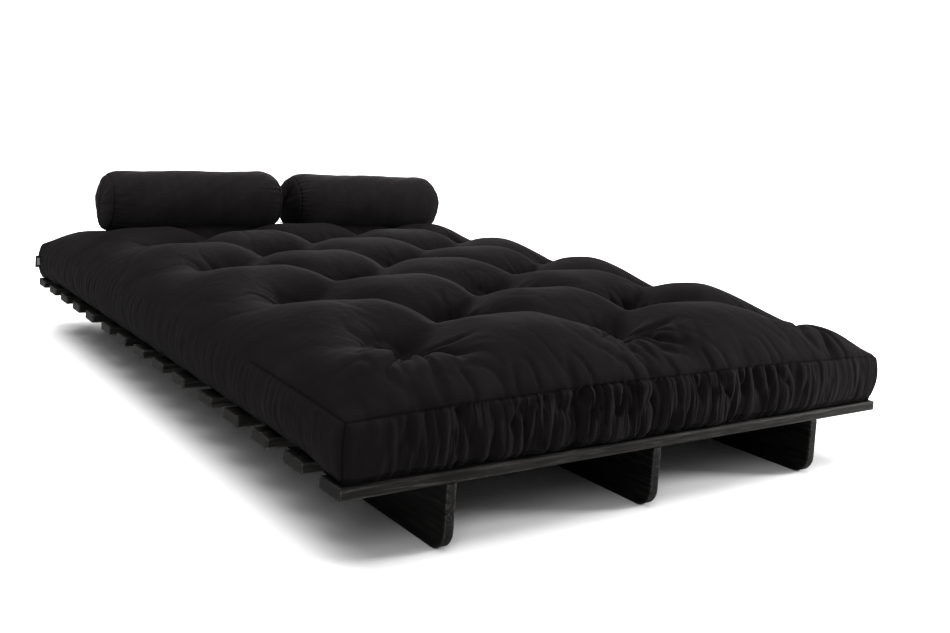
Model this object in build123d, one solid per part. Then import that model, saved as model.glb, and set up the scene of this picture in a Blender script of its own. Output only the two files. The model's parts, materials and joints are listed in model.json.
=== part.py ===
from build123d import *
import math
import os

# Futon sofa bed, laid out flat as a bed.  Millimetres, +Z up, +X across the bed, +Y from the foot rail to the head.
# Three slatted sections are hinged in a row: the seat section stands on long leg boards, the back section
# tilts up from it, and the head section hangs behind the raised back on its own foot boards.
# A futon mattress lies over all three, and two loose cylindrical bolsters lie across the head end.

# ---- overall ----
BED_WIDTH = 1400.0          # slat length, across the bed
LEG_HEIGHT = 122.0          # floor to the underside of the slats
SLAT_THICK = 21.0
SLAT_WIDE = 70.0
SLAT_PITCH = 132.0
SLATS_PER_SECTION = 5
SECTION_EXTRA = 18.0        # added to the slat gap where two sections meet

# ---- boards and battens ----
BOARD_THICK = 20.0
BOARD_OFF_CENTRE = 485.0    # outer leg boards, from the middle of the bed
BOARD_CORNER = 38.0
BATTEN_DEEP = 45.0
FOOT_START = 150.0          # foot board, measured back from the head hinge
FOOT_END = 484.0
FRONT_INSET = 1.5           # leg board front, behind the face of the front rail
HEAD_INSET = 10.0           # batten end, in front of the last slat's edge

# ---- hinge bolts ----
BOLT_R = 4.0
BOLT_CLEAR = 0.4            # radial play of the moving board on its bolt
BOLT_HEAD_FLATS = 13.0
BOLT_HEAD_THICK = 5.3
NUT_THICK = 6.5
SPACER_THICK = 3.0
SPACER_R = 11.0
SIDE_PLAY = 0.3             # sideways play between a turning board and what it turns against

# ---- screws ----
SCREW_R = 2.0
SCREW_HEAD_R = 4.2
SCREW_HEAD_DEEP = 3.0
SCREW_LONG = 45.0

# ---- mattress ----
MATTRESS_THICK = 175.0
MATTRESS_HALF_WIDE = 698.0
MATTRESS_FRONT = 2.0
MATTRESS_HEAD = 1962.0
MATTRESS_EDGE = 30.0        # rounding of its long edges and corners
BACK_TILT = 55.0            # how far the back section tilts up
FOLD_HALF_ANGLE = BACK_TILT / 2 + 0.5
PART_GAP = 0.3

# ---- bolsters ----
BOLSTER_R = 96.0
BOLSTER_LONG = 602.0
BOLSTER_GAP = 24.0
BOLSTER_MIDDLE = 36.0       # the pair lies a little to the right of the bed's middle
BOLSTER_Y = 1775.0
BOLSTER_ROUND = 34.0

# ---- cloth labels ----
LABEL_THICK = 1.2
MATTRESS_LABEL = (22.0, 36.0)    # stands out, height
BOLSTER_LABEL = (24.0, 30.0)     # stands out, width

# ---- derived ----
SLAT_TOP = LEG_HEIGHT + SLAT_THICK
PIVOT_Z = LEG_HEIGHT - BATTEN_DEEP / 2
MATTRESS_TOP = SLAT_TOP + MATTRESS_THICK
SLAT_COUNT = 3 * SLATS_PER_SECTION
SIDE_STEP = BOARD_THICK + SPACER_THICK + SIDE_PLAY


def slat_front(i):
    """Front edge of slat i, counted from the foot of the bed."""
    return i * SLAT_PITCH + (i // SLATS_PER_SECTION) * SECTION_EXTRA


def hinge_line(section):
    """Middle of the gap in front of the first slat of a section."""
    first = section * SLATS_PER_SECTION
    return (slat_front(first - 1) + SLAT_WIDE + slat_front(first)) / 2


SEAT_HINGE_Y = hinge_line(1)
HEAD_HINGE_Y = hinge_line(2)
BED_LENGTH = slat_front(SLAT_COUNT - 1) + SLAT_WIDE

# the frame's origin is the bottom centre of everything's bounding box
X_SHIFT = (MATTRESS_LABEL[0] - (BED_WIDTH / 2 - MATTRESS_HALF_WIDE)) / 2
Y_SHIFT = -MATTRESS_HEAD / 2

# three lines of boards; `inward` is the side on which the back battens lie
BOARD_LINES = (
    ("left", -BOARD_OFF_CENTRE, 1),
    ("middle", 0.0, 1),
    ("right", BOARD_OFF_CENTRE, -1),
)


def save(name, shape):
    """Moves a shape to the shared origin and writes it as one node."""
    placed = Location((X_SHIFT, Y_SHIFT, 0)) * shape
    export_step(placed, f"parts/{name}.step")


def block(x0, x1, y0, y1, z0, z1):
    """A plain box between two corners."""
    box = Box(x1 - x0, y1 - y0, z1 - z0)
    return Location(((x0 + x1) / 2, (y0 + y1) / 2, (z0 + z1) / 2)) * box


def rod_x(x0, x1, y, z, radius):
    """A round bar along X."""
    bar = Cylinder(radius, x1 - x0)
    return Location(((x0 + x1) / 2, y, z), (0, 90, 0)) * bar


def hex_x(x0, x1, y, z, flats):
    """A hexagonal prism along X, for bolt heads and nuts."""
    outline = RegularPolygon(flats / 2, 6, major_radius=False)
    prism = extrude(outline, (x1 - x0) / 2, both=True)
    turned = Location(((x0 + x1) / 2, y, z), (0, 90, 0)) * prism
    return turned


def screw_body(x, y):
    """One countersunk slat screw, its head flush with the slat's top."""
    shank_long = SCREW_LONG - SCREW_HEAD_DEEP
    head = Cone(SCREW_R, SCREW_HEAD_R, SCREW_HEAD_DEEP)
    head = Location((x, y, SLAT_TOP - SCREW_HEAD_DEEP / 2)) * head
    shank = Cylinder(SCREW_R, shank_long)
    shank = Location((x, y, SLAT_TOP - SCREW_HEAD_DEEP - shank_long / 2)) * shank
    return head + shank


def board(x_mid, outline, hinge_holes=()):
    """An upright board: a Y-Z outline given its thickness along X, edges eased, drilled for hinge bolts."""
    face = Plane.YZ * outline
    solid = extrude(face, BOARD_THICK / 2, both=True)
    side_edges = [e for e in solid.edges() if abs(abs(e.center().X) - BOARD_THICK / 2) < 0.01]
    solid = fillet(side_edges, 1.5)
    solid = Location((x_mid, 0, 0)) * solid
    for y, radius in hinge_holes:
        solid = solid - rod_x(x_mid - BOARD_THICK, x_mid + BOARD_THICK, y, PIVOT_Z, radius)
    return solid


def rounded_outline(y0, y1, z0, z1, radii):
    """A Y-Z rectangle; radii are those of its corners: low front, low back, high back, high front."""
    corners = ((y0, z0), (y1, z0), (y1, z1), (y0, z1))
    sheet = make_face(Polyline(*corners, close=True))
    for (y, z), radius in zip(corners, radii):
        if radius:
            near = [v for v in sheet.vertices() if abs(v.X - y) < 0.01 and abs(v.Y - z) < 0.01]
            sheet = fillet(near, radius)
    return sheet


def drill_screws(solid, x, section):
    """Pilot holes for the screws of one section in the board or batten under them."""
    for k in range(SLATS_PER_SECTION):
        y = slat_front(section * SLATS_PER_SECTION + k) + SLAT_WIDE / 2
        solid = solid - screw_body(x, y)
    return solid


def screw_lines(section):
    """The X positions of a section's screws: over its leg boards or its battens."""
    step = SIDE_STEP if section == 1 else 0.0
    return [x + inward * step for _, x, inward in BOARD_LINES]


def make_slats():
    """Fifteen crosswise slats with eased edges; the first is the front rail."""
    for i in range(SLAT_COUNT):
        section = i // SLATS_PER_SECTION
        y0 = slat_front(i)
        slat = block(-BED_WIDTH / 2, BED_WIDTH / 2, y0, y0 + SLAT_WIDE, LEG_HEIGHT, SLAT_TOP)
        slat = fillet(slat.edges().filter_by(Axis.X), 3.5)
        ends = [e for e in slat.edges() if abs(abs(e.center().X) - BED_WIDTH / 2) < 0.01]
        slat = fillet(ends, 1.2)
        for x in screw_lines(section):
            slat = slat - screw_body(x, y0 + SLAT_WIDE / 2)
        save(f"slat_{i + 1:02d}", slat)


def make_screws():
    """The countersunk screws that hold each section's slats."""
    for section, name in enumerate(("seat", "back", "head")):
        screws = []
        for k in range(SLATS_PER_SECTION):
            y = slat_front(section * SLATS_PER_SECTION + k) + SLAT_WIDE / 2
            screws += [screw_body(x, y) for x in screw_lines(section)]
        save(f"{name}_slat_screws", Compound(children=screws))


def make_boards():
    """Leg boards, back battens, head battens and head foot boards, on three lines across the bed."""
    eye = BATTEN_DEEP / 2
    for side, x, inward in BOARD_LINES:
        leg = rounded_outline(
            FRONT_INSET, SEAT_HINGE_Y + eye, 0, LEG_HEIGHT, (BOARD_CORNER, BOARD_CORNER, eye - 0.2, 3.0)
        )
        leg = board(x, leg, [(SEAT_HINGE_Y, BOLT_R)])
        save(f"leg_board_{side}", drill_screws(leg, x, 0))

        back = rounded_outline(
            SEAT_HINGE_Y - eye, HEAD_HINGE_Y + eye, LEG_HEIGHT - BATTEN_DEEP, LEG_HEIGHT, (eye - 0.2,) * 4
        )
        x_back = x + inward * SIDE_STEP
        back = board(x_back, back, [(SEAT_HINGE_Y, BOLT_R + BOLT_CLEAR), (HEAD_HINGE_Y, BOLT_R)])
        save(f"back_batten_{side}", drill_screws(back, x_back, 1))

        head = rounded_outline(
            HEAD_HINGE_Y - eye,
            BED_LENGTH - HEAD_INSET,
            LEG_HEIGHT - BATTEN_DEEP,
            LEG_HEIGHT,
            (eye - 0.2, 12.0, 3.0, eye - 0.2),
        )
        head = board(x, head, [(HEAD_HINGE_Y, BOLT_R + BOLT_CLEAR)])
        save(f"head_batten_{side}", drill_screws(head, x, 2))

        foot = rounded_outline(
            HEAD_HINGE_Y + FOOT_START,
            HEAD_HINGE_Y + FOOT_END,
            0,
            LEG_HEIGHT,
            (BOARD_CORNER, BOARD_CORNER, 3.0, 3.0),
        )
        save(f"foot_board_{side}", board(x - inward * BOARD_THICK, foot))


def hinge_hardware(y, x, inward, batten_x):
    """One hinge bolt along X with its spacer and nut; `x` is the outer board and `batten_x` the inner one."""
    half = BOARD_THICK / 2
    outer_face = x - inward * half
    spacer_face = x + inward * half
    nut_face = batten_x + inward * (half + SIDE_PLAY)
    nut_end = nut_face + inward * NUT_THICK
    head_end = outer_face - inward * BOLT_HEAD_THICK
    tip = nut_end + inward * 2.0
    shank = rod_x(min(outer_face, tip), max(outer_face, tip), y, PIVOT_Z, BOLT_R)
    head = hex_x(min(head_end, outer_face), max(head_end, outer_face), y, PIVOT_Z, BOLT_HEAD_FLATS)
    hole = rod_x(-BED_WIDTH, BED_WIDTH, y, PIVOT_Z, BOLT_R)
    spacer_end = spacer_face + inward * SPACER_THICK
    spacer = rod_x(min(spacer_face, spacer_end), max(spacer_face, spacer_end), y, PIVOT_Z, SPACER_R)
    nut = hex_x(min(nut_face, nut_end), max(nut_face, nut_end), y, PIVOT_Z, BOLT_HEAD_FLATS)
    return head + shank, spacer - hole, nut - hole


def make_hinges():
    """The two rows of hinge bolts.  Each row is fixed in the section in front of it."""
    bolts, spacers, nuts = [], [], []
    for _, x, inward in BOARD_LINES:
        bolt, spacer, nut = hinge_hardware(SEAT_HINGE_Y, x, inward, x + inward * SIDE_STEP)
        bolts.append(bolt)
        spacers.append(spacer)
        nuts.append(nut)
    save("seat_hinge_bolts", Compound(children=bolts))
    save("seat_hinge_spacers", Compound(children=spacers))
    save("seat_hinge_nuts", Compound(children=nuts))

    # at the head hinge the bolt's head lies against the back batten, which is the inner board
    bolts, spacers, nuts = [], [], []
    for _, x, inward in BOARD_LINES:
        bolt, spacer, nut = hinge_hardware(HEAD_HINGE_Y, x + inward * SIDE_STEP, -inward, x)
        bolts.append(bolt)
        spacers.append(spacer)
        nuts.append(nut)
    save("head_hinge_bolts", Compound(children=bolts))
    save("head_hinge_spacers", Compound(children=spacers))
    save("head_hinge_nuts", Compound(children=nuts))


def prism_x(points):
    """A prism across the whole bed from a Y-Z outline."""
    face = Plane.YZ * make_face(Polyline(*points, close=True))
    return extrude(face, BED_WIDTH, both=True)


def make_mattress():
    """The mattress in three rigid parts, one per section, and the wedge that the sofa's fold squeezes.
    The two faces beside the wedge meet when the back is fully up."""
    slab = block(
        -MATTRESS_HALF_WIDE, MATTRESS_HALF_WIDE, MATTRESS_FRONT, MATTRESS_HEAD, SLAT_TOP, MATTRESS_TOP
    )
    slab = fillet(slab.edges().filter_by(Axis.Z), MATTRESS_EDGE)
    rims = [e for e in slab.edges() if abs(e.center().Z - MATTRESS_TOP) < 0.01]
    slab = fillet(rims, MATTRESS_EDGE)
    tall = 400.0
    reach = tall * math.tan(math.radians(FOLD_HALF_ANGLE))
    axis = (SEAT_HINGE_Y, PIVOT_Z)
    high = PIVOT_Z + tall
    seat_side = prism_x([axis, (SEAT_HINGE_Y - reach, high), (-100.0, high), (-100.0, PIVOT_Z)])
    wedge_side = prism_x([axis, (SEAT_HINGE_Y + reach - PART_GAP, high), (SEAT_HINGE_Y - reach, high)])
    back_side = prism_x(
        [
            (SEAT_HINGE_Y + PART_GAP, PIVOT_Z),
            (HEAD_HINGE_Y - PART_GAP, PIVOT_Z),
            (HEAD_HINGE_Y - PART_GAP, high),
            (SEAT_HINGE_Y + PART_GAP + reach, high),
        ]
    )
    head_side = block(-BED_WIDTH, BED_WIDTH, HEAD_HINGE_Y + PART_GAP, MATTRESS_HEAD + 100, PIVOT_Z, high)
    save("mattress_seat", slab & seat_side)
    save("mattress_fold", slab & wedge_side)
    save("mattress_back", slab & back_side)
    save("mattress_head", slab & head_side)


def make_bolsters():
    """Two round bolsters with domed ends, and the cloth labels sewn to the bedding."""
    z = MATTRESS_TOP + BOLSTER_R + 0.5
    for side, sign in (("left", -1), ("right", 1)):
        x = BOLSTER_MIDDLE + sign * (BOLSTER_LONG + BOLSTER_GAP) / 2
        roll = Cylinder(BOLSTER_R, BOLSTER_LONG)
        roll = fillet(roll.edges().filter_by(GeomType.CIRCLE), BOLSTER_ROUND)
        right_roll = Location((x, BOLSTER_Y, z), (0, 90, 0)) * roll
        save(f"bolster_{side}", right_roll)

    out, high = MATTRESS_LABEL
    z_label = SLAT_TOP + 38.0
    y_label = MATTRESS_HEAD - MATTRESS_EDGE - 2.0
    label = block(
        -MATTRESS_HALF_WIDE - out, -MATTRESS_HALF_WIDE, y_label - LABEL_THICK, y_label, z_label, z_label + high
    )
    save("mattress_label", label)

    # the bolster's label lies flat and comes out of the lower part of the right bolster's near end
    out, wide = BOLSTER_LABEL
    x_end = BOLSTER_MIDDLE + BOLSTER_GAP / 2
    z_label = z - BOLSTER_R * 0.78
    y_label = BOLSTER_Y - wide / 2
    tab = block(x_end - out / 2, x_end + out / 2, y_label, y_label + wide, z_label, z_label + LABEL_THICK)
    save("bolster_label", tab - right_roll)


os.makedirs("parts", exist_ok=True)
make_slats()
make_screws()
make_boards()
make_hinges()
make_mattress()
make_bolsters()
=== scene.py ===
import json
import math

import bmesh
import bpy
import numpy as np
from mathutils import Matrix, Vector


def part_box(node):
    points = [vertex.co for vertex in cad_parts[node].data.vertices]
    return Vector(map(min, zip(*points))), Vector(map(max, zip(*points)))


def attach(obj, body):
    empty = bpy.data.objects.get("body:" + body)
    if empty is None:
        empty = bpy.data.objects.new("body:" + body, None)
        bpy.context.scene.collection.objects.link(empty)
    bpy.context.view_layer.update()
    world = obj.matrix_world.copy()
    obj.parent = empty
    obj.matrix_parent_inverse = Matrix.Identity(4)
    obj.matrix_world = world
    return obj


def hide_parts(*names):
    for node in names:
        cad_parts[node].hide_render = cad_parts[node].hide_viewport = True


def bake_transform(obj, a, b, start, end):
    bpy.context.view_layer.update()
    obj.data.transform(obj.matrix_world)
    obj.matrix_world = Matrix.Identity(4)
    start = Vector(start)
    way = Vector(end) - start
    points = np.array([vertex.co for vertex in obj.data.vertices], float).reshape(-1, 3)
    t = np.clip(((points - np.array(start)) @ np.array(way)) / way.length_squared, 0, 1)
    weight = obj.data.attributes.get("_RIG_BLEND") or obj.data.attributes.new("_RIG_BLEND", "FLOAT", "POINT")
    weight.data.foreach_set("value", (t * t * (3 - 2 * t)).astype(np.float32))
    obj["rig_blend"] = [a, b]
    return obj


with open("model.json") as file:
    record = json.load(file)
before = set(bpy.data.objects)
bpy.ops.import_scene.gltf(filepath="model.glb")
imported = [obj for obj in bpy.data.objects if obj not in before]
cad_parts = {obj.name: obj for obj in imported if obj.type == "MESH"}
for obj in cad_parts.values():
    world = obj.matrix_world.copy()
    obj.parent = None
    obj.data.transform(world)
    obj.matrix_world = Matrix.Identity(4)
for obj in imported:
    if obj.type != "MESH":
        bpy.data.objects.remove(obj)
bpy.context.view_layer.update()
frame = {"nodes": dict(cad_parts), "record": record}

# ------------------------------------------------------------------ sizes read from the frame
seat_lo, seat_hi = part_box("mattress_seat")
head_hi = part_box("mattress_head")[1]
X_MID = (seat_lo[0] + seat_hi[0]) / 2
WIDE = seat_hi[0] - seat_lo[0]
Y_FRONT, Y_HEAD = seat_lo[1], head_hi[1]
LONG = Y_HEAD - Y_FRONT
Z_SLAT = seat_lo[2]
JOINTS = {j["name"]: j for j in frame["record"]["behaviour"]["joints"]}
SEAT_HINGE = JOINTS["back_tilt"]["pos_m"]
HEAD_HINGE = JOINTS["head_fold"]["pos_m"]

# mattress
SEAM_UP = 0.108          # boxing height: slat top to the mattress's top seam
CROWN_UP = 0.102         # how far the stuffed top would stand above its seam without tufts
CELL = 0.010             # cloth grid
BAND_ROWS = 11           # rows of the grid down the boxing
ROUND_X, ROUND_Y = 0.19, 0.17   # how far in the top's rounded edges reach
FAR_LEFT_DROP = 0.20     # share by which the crown is lower at the head's left corner
BAND_UV = -3.0           # the boxing's UVs start here, well away from the top's
SLACK_X, SLACK_Y = 1.045, 1.04
TUFT_REACH = 0.100       # how far a tuft pulls the cloth down around itself
VALLEY_DEEP = 0.026      # mean depth of the valley between neighbouring tufts
VALLEY_WIDE = 0.050
GATHER_DEEP = 0.0215     # folds of the front boxing
GATHER_TOP = 0.0100      # the same folds where they run on over the seam
RAY_DEEP = 0.0132        # creases round a tuft
FINE_RAY_DEEP = 0.0072
SEAM_DEEP = 0.0040
TURN_UNDER = 0.007       # the boxing's lower edge
SPILL = 0.012            # the most that the cloth may stand past the slab's sides
SEAT_BEND = 0.20         # half the length over which the mattress bends at each hinge line
HEAD_BEND = 0.22

# bolsters
STUFFED = 1.035          # radius against the plain roll's
CAP_DEEP = 0.020         # how far the domed ends stand past their seams
SHOULDER = 0.055         # length over which the roll narrows to its end seam
NECK = 0.15              # and by what share
SINK = 0.008             # how far the bolsters press into the mattress

# camera and lights
LENS, SHIFT_X, SHIFT_Y = 38.317, 0.0758, -0.1237
YAW, PITCH, ROLL = -0.5746, 0.0808, -0.0645
EYE = (-1.4579, -2.2913, 0.7216)
SKY_STRENGTH = 1.04
SUN_STRENGTH = 3.0
SUN_ANGLE = math.radians(60)
SUN_FROM = (-0.04, 0.14, 1.0)
FLOOR_HALF = 400         # far enough that no view shows the floor's edge


# ------------------------------------------------------------------ small helpers
def mesh_object(name, verts, faces, smooth=True):
    me = bpy.data.meshes.new(name)
    me.from_pydata([tuple(v) for v in verts], [], [tuple(int(i) for i in f) for f in faces])
    me.update()
    if smooth:
        me.shade_smooth()
    ob = bpy.data.objects.new(name, me)
    bpy.context.scene.collection.objects.link(ob)
    return ob


def get_co(me):
    co = np.empty(len(me.vertices) * 3)
    me.vertices.foreach_get("co", co)
    return co.reshape(-1, 3)


def set_co(me, co):
    me.vertices.foreach_set("co", np.asarray(co, float).ravel())
    me.update()


def get_normals(me):
    no = np.empty(len(me.vertices) * 3)
    me.vertex_normals.foreach_get("vector", no)
    return no.reshape(-1, 3)


def set_attr(me, name, values):
    at = me.attributes.new(name, "FLOAT", "POINT")
    at.data.foreach_set("value", np.asarray(values, np.float32))


def get_attr(me, name):
    at = me.attributes[name]
    out = np.empty(len(me.vertices), np.float32)
    at.data.foreach_get("value", out)
    return out.astype(float)


def apply_modifiers(ob):
    dg = bpy.context.evaluated_depsgraph_get()
    me = bpy.data.meshes.new_from_object(ob.evaluated_get(dg), preserve_all_data_layers=True, depsgraph=dg)
    old = ob.data
    ob.modifiers.clear()
    ob.data = me
    bpy.data.meshes.remove(old)
    return me


def subdivide(ob, levels=1):
    m = ob.modifiers.new("sub", "SUBSURF")
    m.levels = m.render_levels = levels
    m.boundary_smooth = "PRESERVE_CORNERS"
    apply_modifiers(ob)
    ob.data.shade_smooth()


def smooth01(t):
    t = np.clip(t, 0, 1)
    return t * t * (3 - 2 * t)


def noise(u, v, seed):
    """Smooth seeded value noise in 0..1 over a unit lattice."""
    iu, iv = np.floor(u).astype(np.int64), np.floor(v).astype(np.int64)
    fu, fv = u - iu, v - iv
    fu, fv = fu * fu * fu * (fu * (fu * 6 - 15) + 10), fv * fv * fv * (fv * (fv * 6 - 15) + 10)

    def corner(a, b):
        h = (a * 374761393 + b * 668265263 + seed * 974711) & 0xFFFFFFFF
        h = ((h ^ (h >> 13)) * 1274126177) & 0xFFFFFFFF
        h = ((h ^ (h >> 16)) * 2246822519) & 0xFFFFFFFF
        return ((h ^ (h >> 15)) & 0xFFFF) / 65535.0

    low = corner(iu, iv) * (1 - fu) + corner(iu + 1, iv) * fu
    high = corner(iu, iv + 1) * (1 - fu) + corner(iu + 1, iv + 1) * fu
    return low * (1 - fv) + high * fv


def crease(u, v, seed):
    """Narrow branching valleys between rounded folds: -1 in a valley, 0.3 on a fold."""
    return 0.3 - 1.3 * np.clip(1 - np.abs(noise(u, v, seed) - 0.5) * 4.2, 0, 1) ** 1.6


def simulate(ob, rest, pins, frames, pressure, stiffness, bending, cap):
    """Inflates a padded piece with Blender's cloth.

    rest is the fabric's slack shape, pins says how firmly each point is held, and no point moves
    further than cap.
    """
    me = ob.data
    start = get_co(me)
    ob.shape_key_add(name="Basis")
    key = ob.shape_key_add(name="rest")
    key.data.foreach_set("co", np.asarray(rest, float).ravel())
    key.value = 0.0
    group = ob.vertex_groups.new(name="pin")
    for weight in np.unique(pins[pins > 0]):
        group.add([int(i) for i in np.flatnonzero(pins == weight)], float(weight), "REPLACE")
    mod = ob.modifiers.new("cloth", "CLOTH")
    c = mod.settings
    c.quality = 4
    c.mass = 0.3
    c.tension_stiffness = c.compression_stiffness = stiffness
    c.shear_stiffness = stiffness * 0.3
    c.bending_stiffness = bending
    c.tension_damping = c.compression_damping = 3
    c.air_damping = 3
    c.use_pressure = True
    c.uniform_pressure_force = pressure
    c.vertex_group_mass = "pin"
    c.pin_stiffness = 1.0
    c.rest_shape_key = key
    c.effector_weights.gravity = 0
    mod.collision_settings.use_collision = False
    mod.collision_settings.use_self_collision = False
    mod.point_cache.frame_start = 1
    mod.point_cache.frame_end = frames
    scene = bpy.context.scene
    for f in range(1, frames + 1):
        scene.frame_set(f)
    dg = bpy.context.evaluated_depsgraph_get()
    out = get_co(ob.evaluated_get(dg).data).copy()
    ob.modifiers.remove(mod)
    ob.shape_key_clear()
    ob.vertex_groups.clear()
    scene.frame_set(1)
    move = out - start
    far = np.linalg.norm(move, axis=1, keepdims=True)
    move *= np.minimum(1, cap / np.maximum(far, 1e-9))
    set_co(ob.data, start + move)


# ------------------------------------------------------------------ materials
def node_tree(name):
    mat = bpy.data.materials.new(name)
    mat.use_nodes = True
    nt = mat.node_tree
    for n in list(nt.nodes):
        if n.type != "OUTPUT_MATERIAL":
            nt.nodes.remove(n)
    out = next(n for n in nt.nodes if n.type == "OUTPUT_MATERIAL")
    bsdf = nt.nodes.new("ShaderNodeBsdfPrincipled")
    nt.links.new(bsdf.outputs[0], out.inputs[0])
    return mat, nt, bsdf


def add(nt, kind, **props):
    n = nt.nodes.new(kind)
    for k, v in props.items():
        if k == "inputs":
            for key, val in v.items():
                n.inputs[key].default_value = val
        else:
            setattr(n, k, v)
    return n


def ramp(nt, source, stops):
    r = nt.nodes.new("ShaderNodeValToRGB")
    e = r.color_ramp.elements
    e[0].position, e[0].color = stops[0][0], (*stops[0][1], 1)
    e[1].position, e[1].color = stops[-1][0], (*stops[-1][1], 1)
    for pos, col in stops[1:-1]:
        s = e.new(pos)
        s.color = (*col, 1)
    nt.links.new(source, r.inputs[0])
    return r.outputs[0]


def grey(v):
    return (v, v, v)


def warm(value):
    """A grey with a little more red than blue, as stained wood has."""
    return (value, value * 0.95, value * 0.91)


def blend_colour(nt, kind, factor, first, second):
    """Mixes or multiplies two colours; each value is a socket to link or a constant to set."""
    mix = add(nt, "ShaderNodeMix", data_type="RGBA", blend_type=kind)
    for index, value in ((0, factor), (6, first), (7, second)):
        if isinstance(value, bpy.types.NodeSocket):
            nt.links.new(value, mix.inputs[index])
        else:
            mix.inputs[index].default_value = value
    return mix.outputs[2]


def fabric(name, base, sheen, gathered=False):
    """Black brushed cotton twill: fine diagonal weave, nap mottling, a soft sheen at grazing angles, painted
    shade along the seams.
    """
    mat, nt, bsdf = node_tree(name)
    uv = add(nt, "ShaderNodeUVMap", uv_map="UVMap").outputs[0]
    weave = add(nt, "ShaderNodeTexWave", wave_type="BANDS", bands_direction="DIAGONAL", wave_profile="SIN",
                inputs={"Scale": 260.0, "Distortion": 1.2, "Detail": 1.0, "Detail Scale": 2.0})
    cross = add(nt, "ShaderNodeTexNoise", inputs={"Scale": 900.0, "Detail": 1.0})
    nap = add(nt, "ShaderNodeTexNoise", inputs={"Scale": 9.0, "Detail": 5.0, "Roughness": 0.62})
    streak_map = add(nt, "ShaderNodeMapping", inputs={"Scale": (40.0, 5.0, 1.0)})
    streak = add(nt, "ShaderNodeTexNoise", inputs={"Scale": 1.0, "Detail": 3.0})
    nt.links.new(uv, weave.inputs["Vector"])
    nt.links.new(uv, cross.inputs["Vector"])
    nt.links.new(uv, nap.inputs["Vector"])
    nt.links.new(uv, streak_map.inputs["Vector"])
    nt.links.new(streak_map.outputs[0], streak.inputs["Vector"])
    b = np.array(base)
    body = ramp(nt, nap.outputs[0], [(0.3, tuple(b * 0.82)), (0.5, tuple(b)), (0.72, tuple(b * 1.22))])
    line = ramp(nt, streak.outputs[0], [(0.3, grey(0.93)), (0.7, grey(1.06))])
    streaked = blend_colour(nt, "MULTIPLY", 1.0, body, line)
    thread = ramp(nt, weave.outputs[1], [(0.0, grey(0.78)), (1.0, grey(1.16))])
    woven = blend_colour(nt, "MULTIPLY", 0.7, streaked, thread)
    # painted shade: along the seam lines the colour goes towards half the base, standing for the shade in
    # their grooves
    line_at = add(nt, "ShaderNodeAttribute", attribute_name="seam_shade")
    seam_shade = ramp(nt, line_at.outputs["Fac"], [(0.70, grey(0.0)), (0.97, grey(1.0))])
    seam_shaded = blend_colour(nt, "MIX", seam_shade, woven, (*(b * 0.5), 1))
    nt.links.new(seam_shaded, bsdf.inputs["Base Color"])
    rough = ramp(nt, nap.outputs[0], [(0.3, grey(0.88)), (0.7, grey(1.0))])
    nt.links.new(rough, bsdf.inputs["Roughness"])
    bsdf.inputs["Specular IOR Level"].default_value = 0.10
    bsdf.inputs["Sheen Weight"].default_value = sheen
    bsdf.inputs["Sheen Roughness"].default_value = 0.42
    bsdf.inputs["Sheen Tint"].default_value = (0.92, 0.88, 0.90, 1)
    high = add(nt, "ShaderNodeMath", operation="MULTIPLY_ADD", inputs={1: 0.6})
    nt.links.new(weave.outputs[1], high.inputs[0])
    nt.links.new(cross.outputs[0], high.inputs[2])
    bump = add(nt, "ShaderNodeBump", inputs={"Strength": 0.35, "Distance": 0.0004})
    nt.links.new(high.outputs[0], bump.inputs["Height"])
    soft = add(nt, "ShaderNodeBump", inputs={"Strength": 0.35, "Distance": 0.004})
    fine = add(nt, "ShaderNodeTexNoise", inputs={"Scale": 55.0, "Detail": 4.0, "Roughness": 0.55})
    nt.links.new(uv, fine.inputs["Vector"])
    nt.links.new(fine.outputs[0], soft.inputs["Height"])
    nt.links.new(bump.outputs[0], soft.inputs["Normal"])
    last = soft.outputs[0]
    if gathered:
        # fine upright gathers on the boxing only, told by its UVs, and strongest along the front
        sep = add(nt, "ShaderNodeSeparateXYZ")
        nt.links.new(uv, sep.inputs[0])
        on_band = add(nt, "ShaderNodeMath", operation="LESS_THAN", inputs={1: BAND_UV + 0.1})
        nt.links.new(sep.outputs[1], on_band.inputs[0])
        where = ramp(nt, sep.outputs[0],
                     [(0.05, grey(0.1)), (0.26, grey(1.0)), (0.80, grey(1.0)), (0.99, grey(0.22))])
        gm = add(nt, "ShaderNodeMapping", inputs={"Scale": (58.0, 6.5, 1.0)})
        nt.links.new(uv, gm.inputs[0])
        gn = add(nt, "ShaderNodeTexNoise",
                 inputs={"Scale": 1.0, "Detail": 2.0, "Roughness": 0.5, "Distortion": 0.25})
        nt.links.new(gm.outputs[0], gn.inputs["Vector"])
        amount = add(nt, "ShaderNodeMath", operation="MULTIPLY")
        nt.links.new(on_band.outputs[0], amount.inputs[0])
        nt.links.new(where, amount.inputs[1])
        height = add(nt, "ShaderNodeMath", operation="MULTIPLY")
        nt.links.new(gn.outputs[0], height.inputs[0])
        nt.links.new(amount.outputs[0], height.inputs[1])
        gb = add(nt, "ShaderNodeBump", inputs={"Strength": 1.0, "Distance": 0.020})
        nt.links.new(height.outputs[0], gb.inputs["Height"])
        nt.links.new(last, gb.inputs["Normal"])
        last = gb.outputs[0]
    nt.links.new(last, bsdf.inputs["Normal"])
    return mat


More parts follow.
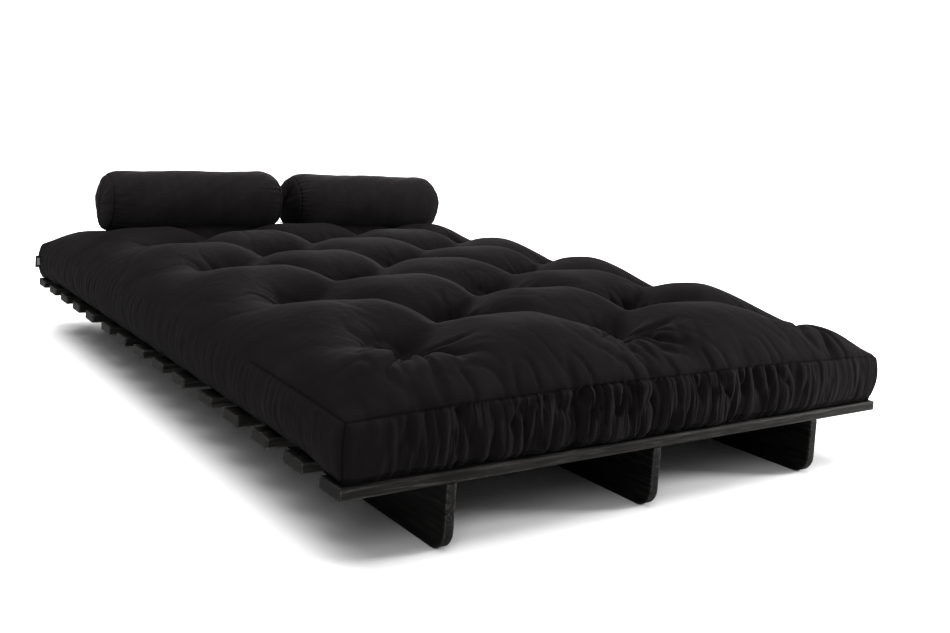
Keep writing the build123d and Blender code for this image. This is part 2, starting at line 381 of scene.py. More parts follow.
def wood(name, along):
    """Black stained pine: grain drawn out along the board, knots, lighter edges partly rubbed and partly
    painted highlight, a painted highlight on the boards' end faces, satin lacquer.
    """
    mat, nt, bsdf = node_tree(name)
    obj = add(nt, "ShaderNodeTexCoord").outputs["Object"]
    info = add(nt, "ShaderNodeObjectInfo")
    shift = add(nt, "ShaderNodeVectorMath", operation="MULTIPLY_ADD")
    nt.links.new(info.outputs["Random"], shift.inputs[0])
    shift.inputs[1].default_value = (7.3, 11.9, 5.1)
    nt.links.new(obj, shift.inputs[2])
    fine_scale = {"X": (2.4, 42.0, 42.0), "Y": (42.0, 2.4, 42.0)}[along]
    broad_scale = {"X": (0.9, 13.0, 13.0), "Y": (13.0, 0.9, 13.0)}[along]
    m1 = add(nt, "ShaderNodeMapping", inputs={"Scale": fine_scale})
    m2 = add(nt, "ShaderNodeMapping", inputs={"Scale": broad_scale})
    nt.links.new(shift.outputs[0], m1.inputs[0])
    nt.links.new(shift.outputs[0], m2.inputs[0])
    grain = add(nt, "ShaderNodeTexNoise",
                inputs={"Scale": 4.5, "Detail": 6.0, "Roughness": 0.65, "Distortion": 0.5})
    rings = add(nt, "ShaderNodeTexWave", wave_type="BANDS", bands_direction="Z" if along == "Y" else "Y",
                inputs={"Scale": 1.6, "Distortion": 1.8, "Detail": 2.0, "Detail Scale": 0.8})
    nt.links.new(m1.outputs[0], grain.inputs["Vector"])
    nt.links.new(m2.outputs[0], rings.inputs["Vector"])
    knot = add(nt, "ShaderNodeTexVoronoi", inputs={"Scale": 1.0})
    m3 = add(nt, "ShaderNodeMapping", inputs={"Scale": {"X": (3.2, 9.0, 9.0), "Y": (9.0, 3.2, 9.0)}[along]})
    nt.links.new(shift.outputs[0], m3.inputs[0])
    nt.links.new(m3.outputs[0], knot.inputs["Vector"])
    knots = ramp(nt, knot.outputs["Distance"], [(0.06, grey(0.35)), (0.12, grey(1.25)), (0.2, grey(1.0))])
    dark, middle, light = {"X": (0.0070, 0.0240, 0.0850), "Y": (0.0038, 0.0095, 0.0300)}[along]
    fine = ramp(nt, grain.outputs[0], [(0.30, warm(dark)), (0.52, warm(middle)), (0.74, warm(light))])
    band = ramp(nt, rings.outputs[1], [(0.0, grey(0.80)), (1.0, grey(1.15))])
    ringed = blend_colour(nt, "MULTIPLY", 0.9, fine, band)
    knotted = blend_colour(nt, "MULTIPLY", 0.8, ringed, knots)
    # rubbed edges and painted highlight: lighter where the rounded normal leaves the true one, partly wear
    # and partly the light that rounded edges catch
    bevel = add(nt, "ShaderNodeBevel", samples=6, inputs={"Radius": 0.007})
    geo = add(nt, "ShaderNodeNewGeometry")
    dot = add(nt, "ShaderNodeVectorMath", operation="DOT_PRODUCT")
    nt.links.new(bevel.outputs[0], dot.inputs[0])
    nt.links.new(geo.outputs["Normal"], dot.inputs[1])
    edge = ramp(nt, dot.outputs["Value"], [(0.80, grey(1.0)), (0.985, grey(0.0))])
    wear_and_highlight = add(nt, "ShaderNodeMath", operation="MULTIPLY")
    wn = ramp(nt, grain.outputs[0], [(0.35, grey(0.15)), (0.65, grey(0.85))])
    nt.links.new(edge, wear_and_highlight.inputs[0])
    nt.links.new(wn, wear_and_highlight.inputs[1])
    rubbed_and_highlit = (*warm({"X": 0.20, "Y": 0.095}[along]), 1)
    worn_and_highlit = blend_colour(nt, "MIX", wear_and_highlight.outputs[0], knotted, rubbed_and_highlit)
    # the slats' sawn ends drink more stain; the boards' rounded ends get a painted highlight, lighter as
    # where light falls on the legs' front faces
    facing = add(nt, "ShaderNodeSeparateXYZ")
    nt.links.new(add(nt, "ShaderNodeTexCoord").outputs["Normal"], facing.inputs[0])
    end = add(nt, "ShaderNodeMath", operation="ABSOLUTE")
    nt.links.new(facing.outputs["XYZ".index(along)], end.inputs[0])
    end_stain_and_light = ramp(nt, end.outputs[0], [(0.55, grey(1.0)), (0.85, grey({"X": 0.42, "Y": 1.9}[along]))])
    nt.links.new(blend_colour(nt, "MULTIPLY", 1.0, worn_and_highlit, end_stain_and_light), bsdf.inputs["Base Color"])
    rough = ramp(nt, grain.outputs[0], [(0.3, grey(0.46)), (0.7, grey(0.68))])
    nt.links.new(rough, bsdf.inputs["Roughness"])
    bsdf.inputs["Specular IOR Level"].default_value = 0.10
    bump = add(nt, "ShaderNodeBump", inputs={"Strength": 0.5, "Distance": 0.0008})
    nt.links.new(grain.outputs[0], bump.inputs["Height"])
    nt.links.new(bevel.outputs[0], bump.inputs["Normal"])
    nt.links.new(bump.outputs[0], bsdf.inputs["Normal"])
    return mat


def steel(name):
    """Blackened steel for the bolts, nuts, spacers and screws."""
    mat, nt, bsdf = node_tree(name)
    obj = add(nt, "ShaderNodeTexCoord").outputs["Object"]
    n = add(nt, "ShaderNodeTexNoise", inputs={"Scale": 160.0, "Detail": 3.0})
    nt.links.new(obj, n.inputs["Vector"])
    nt.links.new(ramp(nt, n.outputs[0], [(0.3, grey(0.012)), (0.7, grey(0.04))]), bsdf.inputs["Base Color"])
    nt.links.new(ramp(nt, n.outputs[0], [(0.3, grey(0.30)), (0.7, grey(0.50))]), bsdf.inputs["Roughness"])
    bsdf.inputs["Metallic"].default_value = 0.85
    return mat


def label_cloth(name, across):
    """A blank woven label lying in X and the axis across: ribbed pale cloth inside a black border."""
    mat, nt, bsdf = node_tree(name)
    coord = add(nt, "ShaderNodeTexCoord")
    w = add(nt, "ShaderNodeTexWave", wave_type="BANDS", bands_direction=across,
            inputs={"Scale": 420.0, "Distortion": 0.5})
    nt.links.new(coord.outputs["Object"], w.inputs["Vector"])
    pale = ramp(nt, w.outputs[1], [(0.0, (0.20, 0.20, 0.195)), (1.0, (0.34, 0.34, 0.33))])
    sep = add(nt, "ShaderNodeSeparateXYZ")
    nt.links.new(coord.outputs["Generated"], sep.inputs[0])
    sides = []
    for axis in (0, "XYZ".index(across)):
        off = add(nt, "ShaderNodeMath", operation="SUBTRACT", inputs={1: 0.5})
        nt.links.new(sep.outputs[axis], off.inputs[0])
        size = add(nt, "ShaderNodeMath", operation="ABSOLUTE")
        nt.links.new(off.outputs[0], size.inputs[0])
        sides.append(size)
    far = add(nt, "ShaderNodeMath", operation="MAXIMUM")
    nt.links.new(sides[0].outputs[0], far.inputs[0])
    nt.links.new(sides[1].outputs[0], far.inputs[1])
    border = ramp(nt, far.outputs[0], [(0.30, grey(0.0)), (0.33, grey(1.0))])
    bordered = blend_colour(nt, "MIX", border, pale, (0.012, 0.011, 0.011, 1))
    nt.links.new(bordered, bsdf.inputs["Base Color"])
    nt.links.new(ramp(nt, w.outputs[1], [(0.0, grey(0.92)), (1.0, grey(0.80))]), bsdf.inputs["Roughness"])
    bump = add(nt, "ShaderNodeBump", inputs={"Strength": 0.4, "Distance": 0.0003})
    nt.links.new(w.outputs[1], bump.inputs["Height"])
    nt.links.new(bump.outputs[0], bsdf.inputs["Normal"])
    return mat


MAT_FABRIC = fabric("mattress_twill", (0.0112, 0.0098, 0.0103), 0.008, True)
MAT_BOLSTER = fabric("bolster_twill", (0.0215, 0.0194, 0.0203), 0.010)
MAT_SLAT = wood("slat_pine", "X")
MAT_BOARD = wood("board_pine", "Y")
MAT_STEEL = steel("black_steel")
MAT_LABELS = {
    "mattress_label": label_cloth("woven_side_label", "Z"),
    "bolster_label": label_cloth("woven_flat_label", "Y"),
}
for node, ob in frame["nodes"].items():
    if node.startswith("slat_"):
        mat = MAT_SLAT
    elif "board" in node or "batten" in node:
        mat = MAT_BOARD
    elif "label" in node:
        mat = MAT_LABELS[node]
    elif "screws" in node or "hinge" in node:
        mat = MAT_STEEL
    else:
        continue
    for s in ob.material_slots:
        s.material = mat

# ------------------------------------------------------------------ mattress
# tufts: five lines along the bed, alternate lines set half a step further on
TUFT_LINES = [(-0.480, 0), (-0.230, 1), (0.035, 0), (0.300, 1), (0.560, 0)]
TUFT_INSET = 0.175       # from the front or head seam to the first or last tuft
TUFT_STEP = (LONG - 2 * TUFT_INSET) / 4
FIRST_ROW = 0.3          # tufts nearer the front than this pull at the front seam
TUFTS = []
for line_x, odd in TUFT_LINES:
    for k in range(4 if odd else 5):
        TUFTS.append((line_x, TUFT_INSET + TUFT_STEP * (k + 0.5 * odd)))
TUFTS = np.array(TUFTS)
TUFT_DEEP = np.random.default_rng(5).uniform(0.064, 0.080, len(TUFTS))


def edge_rise(d, reach):
    """Rounded shoulder: 0 at the seam, 1 from reach inwards."""
    t = np.clip(d / reach, 0, 1)
    return (1 - (1 - t) ** 2.2) ** 0.85


def tuft_valleys():
    """Pairs of neighbouring tufts on slanting lines, joined by a soft valley."""
    pairs = []
    for i in range(len(TUFTS)):
        for j in range(i + 1, len(TUFTS)):
            if abs(TUFTS[i, 0] - TUFTS[j, 0]) > 0.1 and np.hypot(*(TUFTS[i] - TUFTS[j])) < 0.36:
                pairs.append((i, j))
    return pairs


def top_height(x, y):
    """Height of the stuffed top above its seam, at x from the middle and y from the front."""
    dx = WIDE / 2 - np.abs(x)
    dy = np.minimum(y, LONG - y)
    rise = edge_rise(dx, ROUND_X) * edge_rise(dy, ROUND_Y)
    h = CROWN_UP * rise
    for n, (i, j) in enumerate(tuft_valleys()):
        a, b = TUFTS[i], TUFTS[j]
        d = b - a
        t = np.clip(((x - a[0]) * d[0] + (y - a[1]) * d[1]) / (d @ d), 0, 1)
        away = np.hypot(x - a[0] - t * d[0], y - a[1] - t * d[1])
        h = h - (VALLEY_DEEP + 0.008 * np.sin(2.4 * n)) * np.exp(-((away / VALLEY_WIDE) ** 1.6))
    pull = np.zeros_like(x)
    for (tx, ty), deep in zip(TUFTS, TUFT_DEEP):
        r = np.hypot(x - tx, y - ty)
        pull = np.maximum(pull, deep * np.exp(-((r / TUFT_REACH) ** 1.25)))
    h = h - pull * np.minimum(1, rise + 0.2)
    h = h + 0.006 * (noise(x / 0.19 + 9, y / 0.19 + 3, 11) - 0.5) * rise
    drop = np.exp(-(((x + WIDE / 2) / 0.35) ** 2) - ((y - LONG) / 0.45) ** 2)
    h = h * (1 - FAR_LEFT_DROP * drop)
    return np.maximum(h, 0.0)


def seam_height(px, py):
    """The top seam rides up a little between the corners."""
    up = 0.010 * np.sin(np.pi * np.clip((px + WIDE / 2) / WIDE, 0, 1)) * (py < 1e-6)
    side = 0.008 * np.sin(np.pi * np.clip(py / LONG, 0, 1))
    return Z_SLAT + SEAM_UP + up + side


def build_mattress():
    """The whole mattress's top and boxing as one grid of cloth, inflated."""
    nx, ny = int(round(WIDE / CELL)), int(round(LONG / CELL))
    xs, ys = np.linspace(-WIDE / 2, WIDE / 2, nx + 1), np.linspace(0, LONG, ny + 1)
    gx, gy = np.meshgrid(xs, ys, indexing="ij")
    top = np.stack([gx, gy, seam_height(gx, gy) + top_height(gx, gy)], -1).reshape(-1, 3)
    index = np.arange((nx + 1) * (ny + 1)).reshape(nx + 1, ny + 1)
    ring = np.concatenate([index[:-1, 0], index[-1, :-1], index[:0:-1, -1], index[0, :0:-1]])
    count = len(ring)
    base = top[ring].copy()
    out = np.zeros((count, 2))
    on_front = np.isclose(base[:, 1], 0)
    on_back = np.isclose(base[:, 1], LONG)
    on_left = np.isclose(base[:, 0], -WIDE / 2)
    on_right = np.isclose(base[:, 0], WIDE / 2)
    out[:, 1] += on_back.astype(float) - on_front
    out[:, 0] += on_right.astype(float) - on_left
    verts, attrs_band, attrs_front = [top], [np.zeros(len(top))], [np.zeros(len(top))]
    # the slack cloth is cut a little larger than the bed it is drawn down to
    slack = [gx * SLACK_X, (gy - LONG / 2) * SLACK_Y + LONG / 2, np.full_like(gx, Z_SLAT + 0.2)]
    rest = [np.stack(slack, -1).reshape(-1, 3)]
    start = len(top)
    rows = [ring]
    long_side = (on_left | on_right) & ~on_front & ~on_back
    for k in range(1, BAND_ROWS + 1):
        t = k / BAND_ROWS
        from_corner = smooth01(np.minimum(base[:, 1], LONG - base[:, 1]) / 0.22)
        tuck = np.where(long_side, 0.004 + 0.018 * from_corner, 0.004)
        belly = np.where(long_side, 0.009 + 0.004 * from_corner, 0.007)
        bulge = belly * np.sin(np.pi * min(1, t * 1.12)) - tuck * t**3
        p = base.copy()
        p[:, :2] += out * bulge[:, None]
        p[:, 2] = base[:, 2] + (Z_SLAT + 0.0006 - base[:, 2]) * t
        verts.append(p)
        q = base.copy()
        gather = 1.05 if k < BAND_ROWS else 1.03
        q[:, 0] *= SLACK_X * gather
        q[:, 1] = (q[:, 1] - LONG / 2) * SLACK_Y + LONG / 2
        q[:, 2] = Z_SLAT + 0.2 - t * SEAM_UP * 1.06
        rest.append(q)
        attrs_band.append(np.full(count, t))
        attrs_front.append(on_front.astype(float))
        rows.append(np.arange(start, start + count))
        start += count
    verts, rest = np.concatenate(verts), np.concatenate(rest)
    faces = [
        (index[i, j], index[i + 1, j], index[i + 1, j + 1], index[i, j + 1])
        for i in range(nx) for j in range(ny)
    ]
    for a, b in zip(rows, rows[1:]):
        faces += [(a[i], b[i], b[(i + 1) % count], a[(i + 1) % count]) for i in range(count)]
    verts[:, 0] += X_MID
    verts[:, 1] += Y_FRONT
    rest[:, 0] += X_MID
    rest[:, 1] += Y_FRONT
    ob = mesh_object("mattress_whole", verts, faces)
    me = ob.data
    front = np.concatenate(attrs_front)
    front[ring] = on_front
    seam = np.zeros(len(verts))
    seam[ring] = 1
    set_attr(me, "band", np.concatenate(attrs_band))
    set_attr(me, "front", front)
    set_attr(me, "seam", seam)
    low = np.zeros(len(verts))
    low[rows[-2]] = 1
    set_attr(me, "low_seam", low)
    corner = np.zeros(len(verts))
    for r in rows:
        corner[r[(on_front | on_back) & (on_left | on_right)]] = 1
    set_attr(me, "corner", corner)
    # metric UVs: the top in plan, each band by its run round the mattress and its height
    uv = me.uv_layers.new(name="UVMap")
    run = np.concatenate([[0], np.cumsum(np.linalg.norm(np.diff(base[:, :2], axis=0), axis=1))])
    n_top = nx * ny
    data = np.empty((len(me.loops), 2))
    loops = np.empty(len(me.loops), np.int64)
    me.loops.foreach_get("vertex_index", loops)
    data[: n_top * 4] = verts[loops[: n_top * 4], :2]
    at = n_top * 4
    for k in range(BAND_ROWS):
        h0, h1 = BAND_UV - k * SEAM_UP / BAND_ROWS, BAND_UV - (k + 1) * SEAM_UP / BAND_ROWS
        a = run
        b = np.append(run[1:], run[-1] + CELL)
        quad = np.stack([np.stack([a, a * 0 + h0], -1), np.stack([a, a * 0 + h1], -1),
                         np.stack([b, b * 0 + h1], -1), np.stack([b, b * 0 + h0], -1)], 1)
        data[at : at + count * 4] = quad.reshape(-1, 2)
        at += count * 4
    uv.data.foreach_set("uv", data.ravel())
    # held points: the bottom rim fully, the tufts fully, the seam a little
    pins = np.zeros(len(verts))
    pins[ring] = 0.25
    pins[rows[-1]] = 1.0
    px, py = verts[:, 0] - X_MID, verts[:, 1] - Y_FRONT
    for tx, ty in TUFTS:
        near = (np.hypot(px - tx, py - ty) < 0.011) & (np.concatenate(attrs_band) == 0)
        pins[near] = 1.0
    simulate(ob, rest, pins, frames=16, pressure=5.0, stiffness=14.0, bending=0.05, cap=0.024)
    return ob


def details(ob):
    """Seams, gathers and small wrinkles, worked into the simulated cloth after one subdivision."""
    subdivide(ob)
    me = ob.data
    co, no = get_co(me), get_normals(me)
    band, front = get_attr(me, "band"), get_attr(me, "front")
    seam, low, corner = get_attr(me, "seam"), get_attr(me, "low_seam"), get_attr(me, "corner")
    fade_side = 1 - smooth01((co[:, 1] - Y_FRONT - 0.22) / 0.35)
    long_seam = (seam > 0.6) & (np.abs(co[:, 0] - X_MID) > WIDE / 2 - 0.03) & (corner < 0.5)
    seam = np.where(long_seam, seam * fade_side, seam)
    low = np.where(np.abs(co[:, 0] - X_MID) > WIDE / 2 - 0.03, low * fade_side, low)
    line = np.maximum(np.maximum(seam, low), corner)
    # painted shade along every seam line, which the fabric material uses to darken the colour there
    set_attr(me, "seam_shade", np.where(line > 0.6, 1.0, np.where(line > 0.05, line, 0.0)))
    x, y, z = co[:, 0] - X_MID, co[:, 1] - Y_FRONT, co[:, 2] - Z_SLAT
    top = band == 0
    move = np.zeros(len(co))
    # front boxing: dense uneven gathers, liveliest left of the middle, dying out at the corners
    lively = 0.14 + 0.86 * np.exp(-((np.abs(x + 0.08) / 0.42) ** 2.8))
    lively = lively * (0.65 + 0.8 * noise(x / 0.11 + 50, z * 0, 21))
    lively = np.clip(lively, 0.05, 1.2) * smooth01((WIDE / 2 - np.abs(x)) / 0.09)
    lean = 0.35 * (noise(x / 0.17 + 20, z / 0.2, 22) - 0.5)
    ux = x + lean * z + 0.012 * noise(x / 0.06 + 70, z / 0.16, 23)
    folds = 0.50 * crease(ux / 0.034, z / 0.26, 24) + 0.55 * crease(ux / 0.019 + 40, z / 0.15, 25)
    folds += 0.7 * (noise(ux / 0.050, z / 0.30, 26) - 0.5)
    window = front * smooth01(band / 0.06) * (1 - 0.5 * smooth01((band - 0.80) / 0.2))
    move += GATHER_DEEP * folds * lively * window
    # the gathers run on over the seam and fan up on to the top
    onto = top * np.exp(-((np.clip(y, 0, 1) / 0.060) ** 1.3)) * smooth01(y / 0.010)
    fan = 0.6 * crease((ux + 0.25 * y) / 0.036, y / 0.09, 24) + 0.3
    move += GATHER_TOP * fan * lively * onto
    # long sides and back: faint upright drag lines, bending with the bulge
    side = (~top) * (1 - front)
    v = y + x * 0.9 + 0.30 * z + 0.03 * noise(y / 0.15, z / 0.1 + x, 27)
    drag = 0.6 * crease(v / 0.050, z / 0.16, 28) + (noise(v / 0.09, z / 0.2, 29) - 0.5)
    move += side * 0.0026 * drag * np.sin(np.pi * np.clip(band, 0.05, 1))
    shoulder = top * np.exp(-((np.clip(WIDE / 2 - np.abs(x), 0, 1) / 0.09) ** 1.5))
    move += shoulder * 0.0016 * drag
    # creases radiating from every tuft, longer where the first row pulls at the front seam
    for n, (tx, ty) in enumerate(TUFTS):
        dx, dy = x - tx, y - ty
        r = np.hypot(dx, dy)
        near = top & (r < 0.26)
        a = np.arctan2(dy[near], dx[near])
        rn = r[near]
        toward = 0.5 - 0.5 * np.sin(a)
        reach = 0.052 + 0.030 * noise(a * 0 + n, a * 1.5 + 9, 31)
        reach = reach + (0.075 * toward**2 if ty < FIRST_ROW else 0)
        cells = 11 + n % 4
        ua = (a / (2 * np.pi) + 0.5) * cells
        rays = crease(ua + 0.5 * noise(ua * 0.5, rn / 0.05, 32 + n), rn / 0.12 + n, 33 + n)
        fine = crease(ua * 2 + 0.5 * noise(ua, rn / 0.04, 52 + n), rn / 0.09 + n, 53 + n)
        seamless = smooth01((np.pi - np.abs(a)) / 0.25)
        fade = np.exp(-((rn / reach) ** 2.0)) * smooth01(rn / 0.020)
        stronger = 1 + (0.9 * toward if ty < FIRST_ROW else 0)
        depth = RAY_DEEP * (rays + 0.2) + FINE_RAY_DEEP * (fine + 0.2)
        move[near] += fade * seamless * stronger * depth
    # soft lumps and small wandering wrinkles in the slack cloth
    move += top * 0.0016 * (noise(x / 0.075, y / 0.075, 41) - 0.5)
    wander = crease(x / 0.075 + noise(x / 0.1, y / 0.1, 42),
                    y / 0.17 + noise(x / 0.1, y / 0.1, 43), 44)
    move += top * 0.0011 * (wander + 0.3) * smooth01((noise(x / 0.22, y / 0.22, 45) - 0.42) / 0.25)
    co = co + no * move[:, None]
    # seams: a fine valley
    deep = np.maximum(np.maximum(seam, low * 0.6), corner * 0.9) ** 2
    co -= no * (SEAM_DEEP * deep)[:, None]
    # the lower edge of the boxing turns under
    turn = smooth01((band - 0.86) / 0.14) * (1 - 0.7 * np.clip(corner * 2, 0, 1))
    co[:, :2] -= no[:, :2] * (TURN_UNDER * turn)[:, None]
    co[:, 0] = np.clip(co[:, 0], X_MID - WIDE / 2 - SPILL, X_MID + WIDE / 2 + SPILL)
    co[:, 1] = np.clip(co[:, 1], Y_FRONT - SPILL, Y_HEAD + SPILL)
    co[:, 2] = np.maximum(co[:, 2], Z_SLAT + 0.0004)
    set_co(me, co)


def close_bottom(ob):
    """Adds the flat underside as strips from side to side, so that it bends with the folds."""
    me = ob.data
    bm = bmesh.new()
    bm.from_mesh(me)
    bm.verts.ensure_lookup_table()
    uvl = bm.loops.layers.uv.active
    edges = [e for e in bm.edges if e.is_boundary]
    loop_verts = {v for e in edges for v in e.verts}
    # walk the boundary loop
    corner = bm.verts.layers.float["corner"]
    start = min((v for v in loop_verts if v[corner] > 0.6), key=lambda v: v.co.x + v.co.y)
    order, prev, cur = [start], None, start
    while True:
        around = [e.other_vert(cur) for e in cur.link_edges if e.is_boundary]
        step = next(v for v in around if v is not prev)
        if step is start:
            break
        order.append(step)
        prev, cur = cur, step
    nxw, nyl = int(round(WIDE / CELL)) * 2, int(round(LONG / CELL)) * 2
    # the loop starts at the front left corner; 20 points on it is plain which way it runs
    if order[20].co.y - start.co.y > abs(order[20].co.x - start.co.x):
        order = [order[0]] + order[:0:-1]
    front = order[: nxw + 1]
    right = order[nxw : nxw + nyl + 1]
    back = order[nxw + nyl : 2 * nxw + nyl + 1][::-1]
    left = [order[0]] + order[: 2 * nxw + nyl - 1 : -1]
    new_faces = []
    for j in range(1, nyl - 1):
        new_faces.append(bm.faces.new((left[j], left[j + 1], right[j + 1], right[j])))
    new_faces.append(bm.faces.new([left[1], right[1]] + front[::-1]))
    new_faces.append(bm.faces.new([right[nyl - 1], left[nyl - 1]] + back))
    for f in new_faces:
        f.smooth = True
        for lp in f.loops:
            lp[uvl].uv = (lp.vert.co.x, lp.vert.co.y)
    bmesh.ops.recalc_face_normals(bm, faces=bm.faces)
    for v in order:
        for e in v.link_edges:
            if e.other_vert(v) in loop_verts:
                e.smooth = False
    bm.to_mesh(me)
    bm.free()
    me.update()


def split_at(ob, y_cut, names):
    """Cuts the finished mattress on a grid line into two pieces whose rims and shading match exactly."""
    me = ob.data
    no = get_normals(me)
    at = me.attributes.new("keep_normal", "FLOAT_VECTOR", "POINT")
    at.data.foreach_set("vector", no.astype(np.float32).ravel())
    made = []
    for name, keep_front in zip(names, (True, False)):
        part = bpy.data.objects.new(name, me.copy())
        part.data.name = name
        bpy.context.scene.collection.objects.link(part)
        bm = bmesh.new()
        bm.from_mesh(part.data)
        gone = [f for f in bm.faces if (f.calc_center_median().y < y_cut) != keep_front]
        bmesh.ops.delete(bm, geom=gone, context="FACES")
        bm.to_mesh(part.data)
        bm.free()
        pm = part.data
        vec = np.empty(len(pm.vertices) * 3, np.float32)
        pm.attributes["keep_normal"].data.foreach_get("vector", vec)
        pm.shade_smooth()
        pm.normals_split_custom_set_from_vertices([tuple(v) for v in vec.reshape(-1, 3).astype(float)])
        for extra in ("keep_normal", "band", "front", "seam", "low_seam", "corner"):
            if extra in pm.attributes:
                pm.attributes.remove(pm.attributes[extra])
        pm.materials.clear()
        pm.materials.append(MAT_FABRIC)
        made.append(part)
    bpy.data.objects.remove(ob)
    return made


mattress = build_mattress()
details(mattress)
close_bottom(mattress)
Y_CUT = Y_FRONT + round(LONG / 2 / CELL) * CELL * (LONG / (round(LONG / CELL) * CELL))
mattress_low, mattress_high = split_at(mattress, Y_CUT, ("mattress_foot_half", "mattress_head_half"))
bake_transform(mattress_low, "seat_section", "back_section",
         start=(0, SEAT_HINGE[1] - SEAT_BEND, Z_SLAT), end=(0, SEAT_HINGE[1] + SEAT_BEND, Z_SLAT))
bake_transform(mattress_high, "back_section", "head_section",
         start=(0, HEAD_HINGE[1] - HEAD_BEND, Z_SLAT), end=(0, HEAD_HINGE[1] + HEAD_BEND, Z_SLAT))
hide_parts("mattress_seat", "mattress_fold")
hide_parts("mattress_back", "mattress_head")


# ------------------------------------------------------------------ bolsters
def build_bolster(node, seed, tilt):
    """A stuffed roll with domed ends, gathered at its end seams; tilt raises its right end."""
    lo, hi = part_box(node)
    r = (hi[2] - lo[2]) / 2 * STUFFED
    length = hi[0] - lo[0] - 0.010
    mid = Vector(((lo[0] + hi[0]) / 2, (lo[1] + hi[1]) / 2, (lo[2] + hi[2]) / 2))
    around, cap_rows, body_rows = 96, 14, 84
    half = length / 2 - CAP_DEEP
    stations = []                      # (x, radius, seam weight, cap weight)
    for k in range(1, cap_rows):
        a = k / cap_rows * np.pi / 2
        stations.append((-half - CAP_DEEP * np.cos(a) ** 1.15, r * (1 - NECK) * np.sin(a) ** 0.80, 0, 1))
    for k in range(body_rows + 1):
        s = k / body_rows
        inward = 1 - min(1, 2 * half * min(s, 1 - s) / SHOULDER)
        belly = 1 - NECK * inward ** 2.4
        stations.append((-half + 2 * half * s, r * belly, 1.0 if k in (0, body_rows) else 0.0, 0))
    for k in range(cap_rows - 1, 0, -1):
        a = k / cap_rows * np.pi / 2
        stations.append((half + CAP_DEEP * np.cos(a) ** 1.15, r * (1 - NECK) * np.sin(a) ** 0.80, 0, 1))
    st = np.array(stations)
    ang = np.linspace(0, 2 * np.pi, around, endpoint=False)
    rows = len(st)
    verts = np.empty((rows, around, 3))
    verts[..., 0] = st[:, None, 0]
    verts[..., 1] = st[:, None, 1] * np.cos(ang)[None]
    verts[..., 2] = st[:, None, 1] * np.sin(ang)[None]
    v = verts.reshape(-1, 3)
    v = np.vstack([v, [[-half - CAP_DEEP, 0, 0], [half + CAP_DEEP, 0, 0]]])
    faces = []
    for i in range(rows - 1):
        for j in range(around):
            a, b = i * around + j, i * around + (j + 1) % around
            faces.append((a, b, b + around, a + around))
    p0, p1 = rows * around, rows * around + 1
    for j in range(around):
        faces.append((p0, (j + 1) % around, j))
        faces.append((p1, (rows - 1) * around + j, (rows - 1) * around + (j + 1) % around))
    ob = mesh_object(node + "_cushion", v, faces)
    me = ob.data
    seam = np.append(np.repeat(st[:, 2], around), [0, 0])
    body = np.append(np.repeat(1 - st[:, 3], around), [0, 0])
    set_attr(me, "seam", seam)
    set_attr(me, "body", body)
    uv = me.uv_layers.new(name="UVMap")
    loops = np.empty(len(me.loops), np.int64)
    me.loops.foreach_get("vertex_index", loops)
    angle = np.append(np.tile(ang, rows), [0, 0]) * r
    run = np.append(np.repeat(st[:, 0], around), [-half - CAP_DEEP, half + CAP_DEEP])
    data = np.stack([run[loops], angle[loops]], -1)
    # the last column wraps round, so its far side is sent on to a full turn
    quads = data[: (rows - 1) * around * 4].reshape(-1, 4, 2)
    wrap = (quads[..., 1].max(1) - quads[..., 1].min(1)) > r * np.pi
    q = quads[wrap]
    q[..., 1] = np.where(q[..., 1] < r, q[..., 1] + 2 * np.pi * r, q[..., 1])
    quads[wrap] = q
    tri = v[loops[(rows - 1) * around * 4 :]]
    data[(rows - 1) * around * 4 :] = tri[:, 1:]
    uv.data.foreach_set("uv", data.ravel())
    # swell the stuffing: the slack cloth is 4 percent larger round, and held along its seams
    pins = np.append(np.repeat(np.where(st[:, 2] > 0, 0.5, 0.0), around), [0, 0])
    rest = v * np.array([1.0, 1.04, 1.04])
    simulate(ob, rest, pins, frames=14, pressure=4.0, stiffness=14.0, bending=0.04, cap=0.007)
    subdivide(ob)
    me = ob.data
    co, no = get_co(me), get_normals(me)
    seam, body = get_attr(me, "seam"), get_attr(me, "body")
    a = np.arctan2(co[:, 2], co[:, 1])
    # gathers fan out from each end seam
    d = half - np.abs(co[:, 0])
    end = np.sign(co[:, 0])
    wob = 0.35 * np.sin(3 * a + seed) + 0.2 * np.sin(7 * a + 2 * seed)
    wide_pleat = np.abs(np.sin(17 * a + 3 * wob + end)) ** 0.7
    fine_pleat = np.abs(np.sin(27 * a + 2 + 5 * wob)) ** 0.8
    pleat = wide_pleat * 0.6 + fine_pleat * 0.4 - 0.62
    lively = 0.55 + 0.45 * np.sin(2 * a + 1.3 * seed + end)
    reach = 0.018 + 0.018 * (0.5 + 0.5 * np.sin(5 * a + seed))
    move = 0.0085 * pleat * lively * np.exp(-np.clip(d, 0, 1) / reach) * (body > 0.5)
    move += 0.0014 * pleat * lively * np.exp(-np.clip(-d, 0, 1) / 0.012) * (body <= 0.5)
    # soft unevenness of the filling
    move += 0.0022 * np.sin(co[:, 0] / 0.11 + 2 * a + seed) * np.sin(3 * a + co[:, 0] / 0.07 + 1.7 * seed)
    move += 0.0008 * np.sin(co[:, 0] / 0.019 + 5 * a) * np.sin(9 * a + co[:, 0] / 0.03)
    move -= 0.0036 * seam**2
    co = co + no * move[:, None]
    # it settles where it rests
    low = np.clip((-co[:, 2] - r * 0.86) / (r * 0.14), 0, 1.3)
    co[:, 2] += low * 0.006
    co[:, 2] = np.clip(co[:, 2], -r - 0.0002, r + 0.006)
    co[:, 0] = np.clip(co[:, 0], -length / 2 - 0.003, length / 2 + 0.003)
    co[:, 2] += co[:, 0] * math.tan(tilt) - SINK
    set_co(me, co + np.array(mid))
    for extra in ("seam", "body"):
        me.attributes.remove(me.attributes[extra])
    me.materials.append(MAT_BOLSTER)
    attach(ob, node + "_roll")
    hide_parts(node)


build_bolster("bolster_left", 1.0, math.radians(1.3))
build_bolster("bolster_right", 2.7, math.radians(-0.2))

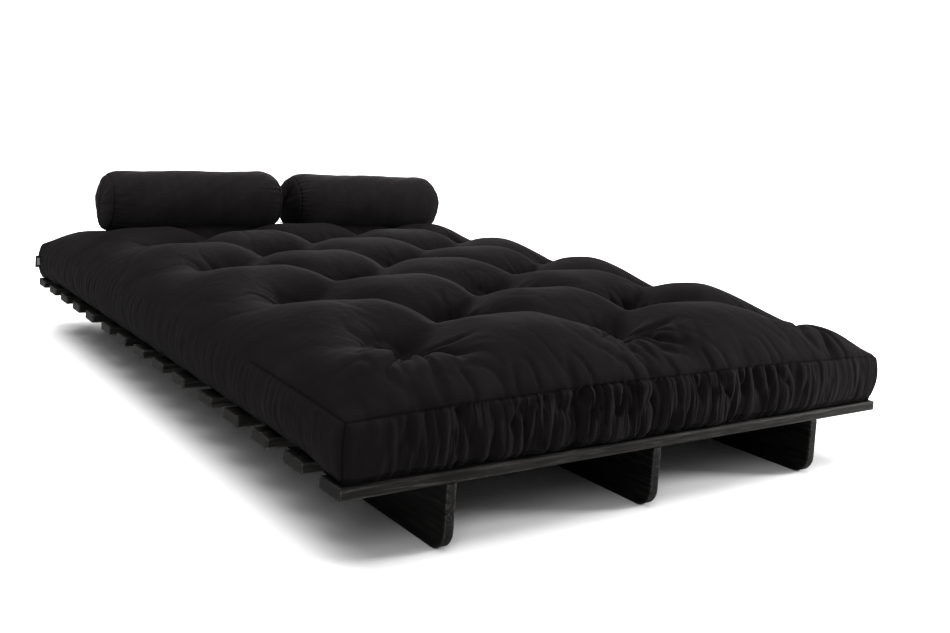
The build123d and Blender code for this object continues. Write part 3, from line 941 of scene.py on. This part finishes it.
# ------------------------------------------------------------------ stage, light, camera
floor_corners = [(x * FLOOR_HALF, y * FLOOR_HALF, 0) for x, y in ((-1, -1), (1, -1), (1, 1), (-1, 1))]
floor = mesh_object("studio_floor", floor_corners, [(0, 1, 2, 3)], smooth=False)
fmat, fnt, fbsdf = node_tree("studio_floor")
fn = add(fnt, "ShaderNodeTexNoise", inputs={"Scale": 3.0, "Detail": 2.0})
fnt.links.new(ramp(fnt, fn.outputs[0], [(0.3, grey(0.86)), (0.7, grey(0.88))]), fbsdf.inputs["Base Color"])
fbsdf.inputs["Roughness"].default_value = 0.9
fbsdf.inputs["Specular IOR Level"].default_value = 0.1
floor.data.materials.append(fmat)

world = bpy.data.worlds.new("studio")
bpy.context.scene.world = world
world.use_nodes = True
wnt = world.node_tree
for n in list(wnt.nodes):
    wnt.nodes.remove(n)
wout = wnt.nodes.new("ShaderNodeOutputWorld")
wbg = wnt.nodes.new("ShaderNodeBackground")
wtc = wnt.nodes.new("ShaderNodeTexCoord")
wsep = wnt.nodes.new("ShaderNodeSeparateXYZ")
wnt.links.new(wtc.outputs["Generated"], wsep.inputs[0])
sky = ramp(wnt, wsep.outputs[2], [(0.08, grey(1.0)), (0.30, grey(0.30))])
wnt.links.new(sky, wbg.inputs[0])
wbg.inputs[1].default_value = SKY_STRENGTH
wnt.links.new(wbg.outputs[0], wout.inputs[0])


def area(name, pos, target, size, power):
    """A square area light of that size in metres and power in watts, turned to its target."""
    light = bpy.data.lights.new(name, "AREA")
    light.energy = power
    light.size = size
    ob = bpy.data.objects.new(name, light)
    bpy.context.scene.collection.objects.link(ob)
    ob.location = pos
    ob.rotation_euler = (Vector(target) - Vector(pos)).to_track_quat("-Z", "Y").to_euler()


scene = bpy.context.scene
sun = bpy.data.lights.new("soft_sun", "SUN")
sun.energy = SUN_STRENGTH
sun.angle = SUN_ANGLE
sun_ob = bpy.data.objects.new("soft_sun", sun)
scene.collection.objects.link(sun_ob)
sun_ob.rotation_euler = Vector(SUN_FROM).to_track_quat("Z", "Y").to_euler()
area("rim", (1.7, 3.1, 1.9), (0, 0, 0.3), 1.1, 62)
area("side", (3.3, -2.1, 1.2), (0.0, -1.0, 0.2), 0.8, 105)
area("fill", (-2.9, -3.7, 3.3), (-0.3, 0.3, 0.2), 2.2, 50)

scene.view_settings.view_transform = "Standard"
scene.view_settings.look = "High Contrast"

cam_data = bpy.data.cameras.new("camera")
camera = bpy.data.objects.new("camera", cam_data)
scene.collection.objects.link(camera)
scene.camera = camera
cam_data.sensor_width = 36.0
cam_data.lens = LENS
cam_data.shift_x = SHIFT_X
cam_data.shift_y = SHIFT_Y
flat = math.cos(PITCH)
forward = Vector((-math.sin(YAW) * flat, math.cos(YAW) * flat, -math.sin(PITCH)))
right = Vector((math.cos(YAW), math.sin(YAW), 0))
down = forward.cross(right)
right, down = (
    right * math.cos(ROLL) + down * math.sin(ROLL),
    down * math.cos(ROLL) - right * math.sin(ROLL),
)
turn = Matrix((right, -down, -forward)).transposed().to_4x4()
camera.matrix_world = Matrix.Translation(EYE) @ turn
